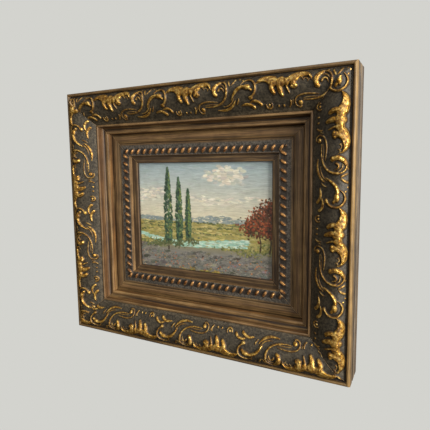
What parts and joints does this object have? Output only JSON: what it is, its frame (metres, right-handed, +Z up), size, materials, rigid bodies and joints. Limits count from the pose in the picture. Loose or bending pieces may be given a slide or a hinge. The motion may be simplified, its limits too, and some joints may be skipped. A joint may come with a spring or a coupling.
{
  "type": "framed oil painting",
  "caption": "Small landscape oil painting on board in a deep stepped frame with worn gilt acanthus carving and a beaded frieze.",
  "frame": {"origin": "middle of the hanger's rear face, where the picture bears on the wall at its nail", "axes": "+X to the right as the picture is looked at, +Y out of the picture's back towards the wall, +Z up"},
  "size_m": [0.34, 0.0496, 0.294],
  "materials": {
    "gilt_moulding": "carved wood, dark grey-brown ground, raised parts in worn gilt, steps in rubbed umber",
    "oil_paint": "oil paint on a primed board, satin, thin with raised dabs",
    "steel": "plain zinc-plated steel, dull",
    "brassed_steel": "brass-plated pressed sheet, satin"
  },
  "bodies": {
    "root": {"rail_top": "gilt_moulding", "rail_right": "gilt_moulding", "rail_bottom": "gilt_moulding", "rail_left": "gilt_moulding", "painted_board": "oil_paint", "board_point_top": "steel", "board_point_right": "steel", "board_point_bottom": "steel", "board_point_left": "steel", "hanger": "brassed_steel", "hanger_nail_left": "steel", "hanger_nail_right": "steel"}
  },
  "joints": []
}
